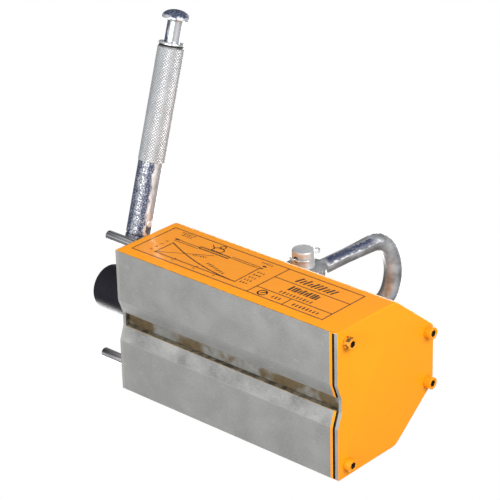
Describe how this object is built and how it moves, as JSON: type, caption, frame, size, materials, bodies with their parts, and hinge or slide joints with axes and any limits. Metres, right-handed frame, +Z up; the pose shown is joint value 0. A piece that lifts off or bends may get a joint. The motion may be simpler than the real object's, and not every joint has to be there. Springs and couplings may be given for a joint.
{
  "type": "lifting magnet",
  "caption": "Permanent lifting magnet: painted steel block with two pole faces, a hand lever that turns the inner rotor, and a lifting shackle on top.",
  "frame": {"origin": "centre of the front pole's contact face, on the plane that the magnet stands and grips with", "axes": "+X along the rotor from the lever end to the plain end, +Y from the side the lever rests on to the other side, +Z up towards the shackle"},
  "size_m": [0.291, 0.2928, 0.2224],
  "materials": {
    "body_paint": "warm yellow-orange enamel, satin gloss",
    "label_film": "orange film with dark print",
    "ground_steel": "surface-ground bare steel",
    "machined_steel": "turned bright steel",
    "slot_brass": "dull, browned strip",
    "black_oxide": "black oxide",
    "magnet_nickel": "nickel-plated magnet",
    "bearing_bronze": "sintered bronze",
    "stainless": "drawn stainless steel",
    "lever_chrome": "bright plated steel",
    "shackle_zinc": "zinc-plated forging"
  },
  "bodies": {
    "root": {"pole_front": "ground_steel", "pole_rear": "ground_steel", "slot_strip": "slot_brass", "drive_end_cover": "body_paint", "plain_end_cover": "body_paint", "drive_screw_front_lower": "body_paint", "drive_screw_front_upper": "body_paint", "drive_screw_rear_lower": "body_paint", "drive_screw_rear_upper": "body_paint", "plain_screw_front_lower": "body_paint", "plain_screw_front_upper": "body_paint", "plain_screw_rear_lower": "body_paint", "plain_screw_rear_upper": "body_paint", "stop_pin_front": "machined_steel", "stop_pin_rear": "machined_steel", "rating_label": "label_film", "rotor_shield": "stainless", "stator_magnet_1": "magnet_nickel", "stator_magnet_2": "magnet_nickel", "stator_magnet_3": "magnet_nickel", "top_bar": "ground_steel", "lifting_lug": "ground_steel", "lug_dowel": "machined_steel", "drive_bearing_block": "machined_steel", "plain_bearing_block": "machined_steel", "drive_bushing": "bearing_bronze", "plain_bushing": "bearing_bronze"},
    "rotor": {"rotor_segment_near": "machined_steel", "rotor_segment_far": "machined_steel", "rotor_magnet_1": "magnet_nickel", "rotor_magnet_2": "magnet_nickel", "rotor_magnet_3": "magnet_nickel", "plain_end_flange": "machined_steel", "drive_shaft": "machined_steel", "plain_tie_screw_near": "black_oxide", "plain_tie_screw_far": "black_oxide", "drive_tie_screw_near": "black_oxide", "drive_tie_screw_far": "black_oxide", "hub": "black_oxide", "hub_roll_pin": "machined_steel", "lever_socket": "lever_chrome", "lever_rod": "lever_chrome", "end_bush": "lever_chrome", "button_spring": "stainless"},
    "button": {"safety_button": "lever_chrome", "push_rod": "machined_steel", "latch_pin": "machined_steel"},
    "shackle": {"shackle": "shackle_zinc", "shackle_pin": "shackle_zinc", "cotter_pin": "shackle_zinc"}
  },
  "joints": [
    {"name": "rotor_turn", "type": "hinge", "parent": "root", "child": "rotor", "pos_m": [-0.116, 0.04075, 0.04], "axis": [-1, 0, 0], "range_deg": [0, 160]},
    {"name": "button_press", "type": "slide", "parent": "rotor", "child": "button", "axis": [0, 0.9537, -0.3007], "range_m": [0, 0.006], "stiffness_N_per_m": 400, "springref_m": -0.01, "deforming": ["button_spring"]},
    {"name": "shackle_swing", "type": "hinge", "parent": "root", "child": "shackle", "pos_m": [-0.034, 0.04075, 0.135], "axis": [0, 1, 0], "range_deg": [-116, 74]}
  ]
}
